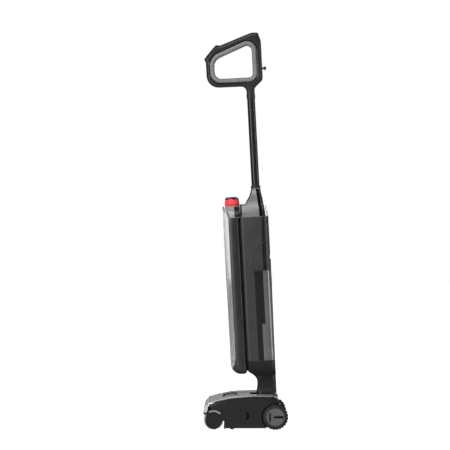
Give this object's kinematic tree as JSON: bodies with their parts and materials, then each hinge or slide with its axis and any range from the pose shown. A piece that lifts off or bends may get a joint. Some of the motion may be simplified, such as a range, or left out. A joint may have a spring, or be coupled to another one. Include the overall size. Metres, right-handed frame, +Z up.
{
  "type": "wet dry floor scrubber",
  "caption": "Cordless upright wet dry floor washer: roller head on wheels, reclining swivel neck, removable clean and dirty water tanks, and a loop handle.",
  "frame": {"origin": "on the floor, under the centre of the whole machine's bounding box", "axes": "+X to the right hand of someone who faces the machine's front, -Y forward towards the roller, +Z up"},
  "size_m": [0.256, 0.2343, 1.1017],
  "materials": {
    "dark_plastic": "satin moulded",
    "charcoal_plastic": "satin moulded",
    "black_gloss": "gloss",
    "mid_grey_plastic": "satin painted",
    "light_clear": "clear tinted",
    "smoke_clear": "smoked translucent",
    "pale_cover": "gloss light grey",
    "pale_trim": "pale translucent",
    "red_gloss": "gloss",
    "black_rubber": "matt",
    "tread": "matt",
    "nap": "woven nap",
    "grip_rubber": "soft touch",
    "steel": "brushed",
    "motor_can": "plain",
    "brass_gear": "plain",
    "board_green": "lacquered",
    "cell_wrap": "shrink wrap",
    "filter_fleece": "pleated",
    "float_yellow": "plain",
    "pole_paint": "satin",
    "white_plastic": "plain"
  },
  "bodies": {
    "floor_head": {"head_chassis": "dark_plastic", "head_top_cover": "pale_cover", "head_screws": "steel", "right_side_cover": "charcoal_plastic", "left_side_cover": "charcoal_plastic", "front_bumper": "black_rubber", "drive_belt": "black_rubber", "brush_motor": "motor_can", "squeegee_blade": "black_rubber", "scraper_bar": "dark_plastic", "spray_bar": "dark_plastic", "head_pins": "steel"},
    "visor": {"roller_visor": "pale_cover", "visor_grip": "black_rubber"},
    "visor_catch": {"visor_latch": "mid_grey_plastic"},
    "roller_carrier": {"roller_end_cap": "charcoal_plastic"},
    "roller": {"roller_core": "dark_plastic", "roller_sleeve": "nap"},
    "drive": {"drive_hub": "dark_plastic"},
    "motor_shaft": {"motor_pinion": "brass_gear"},
    "wheel_right": {"right_tyre": "tread", "right_wheel_hub": "charcoal_plastic"},
    "wheel_left": {"left_tyre": "tread", "left_wheel_hub": "charcoal_plastic"},
    "caster_right": {"right_caster": "black_rubber"},
    "caster_left": {"left_caster": "black_rubber"},
    "neck": {"neck_yoke": "dark_plastic", "swivel_ring": "steel"},
    "upright": {"lower_housing": "dark_plastic", "main_shell_right": "charcoal_plastic", "main_shell_left": "charcoal_plastic", "housing_screws": "steel", "shoulder_cover": "mid_grey_plastic", "rear_fairing": "pale_trim", "suction_motor": "motor_can", "control_board": "board_green", "water_pump": "dark_plastic", "pole": "pole_paint", "handle_shell_right": "black_gloss", "handle_shell_left": "black_gloss", "grip_ring": "grip_rubber", "control_panel": "black_gloss"},
    "fan": {"impeller": "motor_can"},
    "battery": {"battery_case": "charcoal_plastic", "battery_cells": "cell_wrap"},
    "battery_catch": {"battery_latch": "black_rubber"},
    "dirty_tank": {"dirty_tank_body": "charcoal_plastic", "dirty_tank_window": "light_clear", "dirty_tank_riser": "dark_plastic"},
    "lid": {"tank_lid": "mid_grey_plastic", "air_filter": "filter_fleece", "float_cage": "white_plastic"},
    "filter_cover": {"filter_cap": "red_gloss"},
    "tank_release": {"tank_button": "black_gloss"},
    "float": {"tank_float": "float_yellow"},
    "clean_tank": {"clean_tank_body": "smoke_clear"},
    "filler_plug": {"clean_tank_plug": "black_rubber"},
    "power_key": {"power_button": "mid_grey_plastic"},
    "mode_key": {"mode_button": "mid_grey_plastic"},
    "rear_trigger": {"rear_button": "black_rubber"}
  },
  "joints": [
    {"name": "visor_lift", "type": "slide", "parent": "floor_head", "child": "visor", "axis": [0, 0, 1], "range_m": [0, 0.045]},
    {"name": "visor_catch_press", "type": "slide", "parent": "visor", "child": "visor_catch", "axis": [0, 0, -1], "range_m": [0, 0.002], "stiffness_N_per_m": 600, "springref_m": -0.0006},
    {"name": "roller_pull", "type": "slide", "parent": "floor_head", "child": "roller_carrier", "axis": [1, 0, 0], "range_m": [0, 0.15]},
    {"name": "roller_spin", "type": "hinge", "parent": "roller_carrier", "child": "roller", "pos_m": [0, -0.089, 0.0265], "axis": [1, 0, 0], "continuous": true},
    {"name": "drive_spin", "type": "hinge", "parent": "floor_head", "child": "drive", "pos_m": [-0.114, -0.089, 0.0265], "axis": [1, 0, 0], "continuous": true},
    {"name": "motor_spin", "type": "hinge", "parent": "floor_head", "child": "motor_shaft", "pos_m": [-0.114, -0.018, 0.032], "axis": [1, 0, 0], "continuous": true},
    {"name": "right_wheel_spin", "type": "hinge", "parent": "floor_head", "child": "wheel_right", "pos_m": [0.1145, 0.081, 0.036], "axis": [1, 0, 0], "continuous": true},
    {"name": "left_wheel_spin", "type": "hinge", "parent": "floor_head", "child": "wheel_left", "pos_m": [-0.1145, 0.081, 0.036], "axis": [1, 0, 0], "continuous": true},
    {"name": "right_caster_spin", "type": "hinge", "parent": "floor_head", "child": "caster_right", "pos_m": [0.095, -0.038, 0.0075], "axis": [1, 0, 0], "continuous": true},
    {"name": "left_caster_spin", "type": "hinge", "parent": "floor_head", "child": "caster_left", "pos_m": [-0.095, -0.038, 0.0075], "axis": [1, 0, 0], "continuous": true},
    {"name": "neck_recline", "type": "hinge", "parent": "floor_head", "child": "neck", "pos_m": [0, 0.0594, 0.08], "axis": [-1, 0, 0], "range_deg": [0, 68]},
    {"name": "neck_swivel", "type": "hinge", "parent": "neck", "child": "upright", "pos_m": [0, 0.05783, 0.10996], "axis": [0, -0.0523, 0.9986], "range_deg": [-40, 40]},
    {"name": "fan_spin", "type": "hinge", "parent": "upright", "child": "fan", "pos_m": [0, 0.02198, 0.56471], "axis": [0, -0.0523, 0.9986], "continuous": true},
    {"name": "battery_slide", "type": "slide", "parent": "upright", "child": "battery", "axis": [0, 0.9986, 0.0523], "range_m": [0, 0.06]},
    {"name": "battery_catch_press", "type": "slide", "parent": "battery", "child": "battery_catch", "axis": [0, -0.9986, -0.0523], "range_m": [0, 0.001], "stiffness_N_per_m": 1500, "springref_m": -0.0006},
    {"name": "dirty_tank_slide", "type": "slide", "parent": "upright", "child": "dirty_tank", "axis": [0, -0.9986, -0.0523], "range_m": [0, 0.12]},
    {"name": "lid_lift", "type": "slide", "parent": "dirty_tank", "child": "lid", "axis": [0, -0.0523, 0.9986], "range_m": [0, 0.15]},
    {"name": "filter_cover_lift", "type": "slide", "parent": "lid", "child": "filter_cover", "axis": [0, -0.0523, 0.9986], "range_m": [0, 0.03]},
    {"name": "tank_release_press", "type": "slide", "parent": "filter_cover", "child": "tank_release", "axis": [0, 0.0523, -0.9986], "range_m": [0, 0.0025], "stiffness_N_per_m": 900, "springref_m": -0.0008},
    {"name": "float_rise", "type": "slide", "parent": "lid", "child": "float", "axis": [0, -0.0523, 0.9986], "range_m": [0, 0.12]},
    {"name": "clean_tank_slide", "type": "slide", "parent": "upright", "child": "clean_tank", "axis": [0, 0.9986, 0.0523], "range_m": [0, 0.06]},
    {"name": "filler_plug_pull", "type": "slide", "parent": "clean_tank", "child": "filler_plug", "axis": [0, 0.9986, 0.0523], "range_m": [0, 0.02]},
    {"name": "power_press", "type": "slide", "parent": "upright", "child": "power_key", "axis": [0, 0.7691, -0.6391], "range_m": [0, 0.0006], "stiffness_N_per_m": 800, "springref_m": -0.0004},
    {"name": "mode_press", "type": "slide", "parent": "upright", "child": "mode_key", "axis": [0, 0.7691, -0.6391], "range_m": [0, 0.0006], "stiffness_N_per_m": 800, "springref_m": -0.0004},
    {"name": "rear_trigger_press", "type": "slide", "parent": "upright", "child": "rear_trigger", "axis": [0, -0.9986, -0.0523], "range_m": [0, 0.0025], "stiffness_N_per_m": 800, "springref_m": -0.0008}
  ],
  "couplings": [
    {"joint": "drive_spin", "follows": "roller_spin", "ratio": 1},
    {"joint": "motor_spin", "follows": "roller_spin", "ratio": 2.5}
  ]
}
